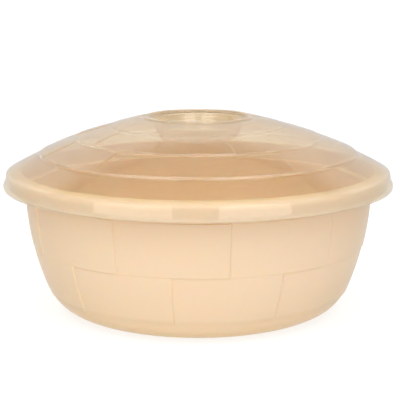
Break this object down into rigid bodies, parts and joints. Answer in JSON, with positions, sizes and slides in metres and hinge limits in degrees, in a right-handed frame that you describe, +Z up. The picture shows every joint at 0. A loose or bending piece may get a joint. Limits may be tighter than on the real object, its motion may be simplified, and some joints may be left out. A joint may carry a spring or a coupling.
{
  "type": "lidded basin",
  "caption": "Round plastic basin with a turned-over rim and staggered raised panels, under a lift-off translucent domed lid with a recessed finger grip.",
  "frame": {"origin": "middle of the foot, on the surface that the basin stands on", "axes": "+Z up, along the axis of the basin and the lid; -Y is the front"},
  "size_m": [0.3618, 0.3618, 0.1795],
  "materials": {
    "basin_plastic": "smooth beige polypropylene with a soft gloss",
    "lid_plastic": "clear, slightly milky polypropylene, glossy"
  },
  "bodies": {
    "basin": {"basin": "basin_plastic"},
    "lid": {"lid": "lid_plastic"}
  },
  "joints": [
    {"name": "lid_lift", "type": "slide", "parent": "basin", "child": "lid", "axis": [0, 0, 1], "range_m": [0, 0.25]}
  ]
}
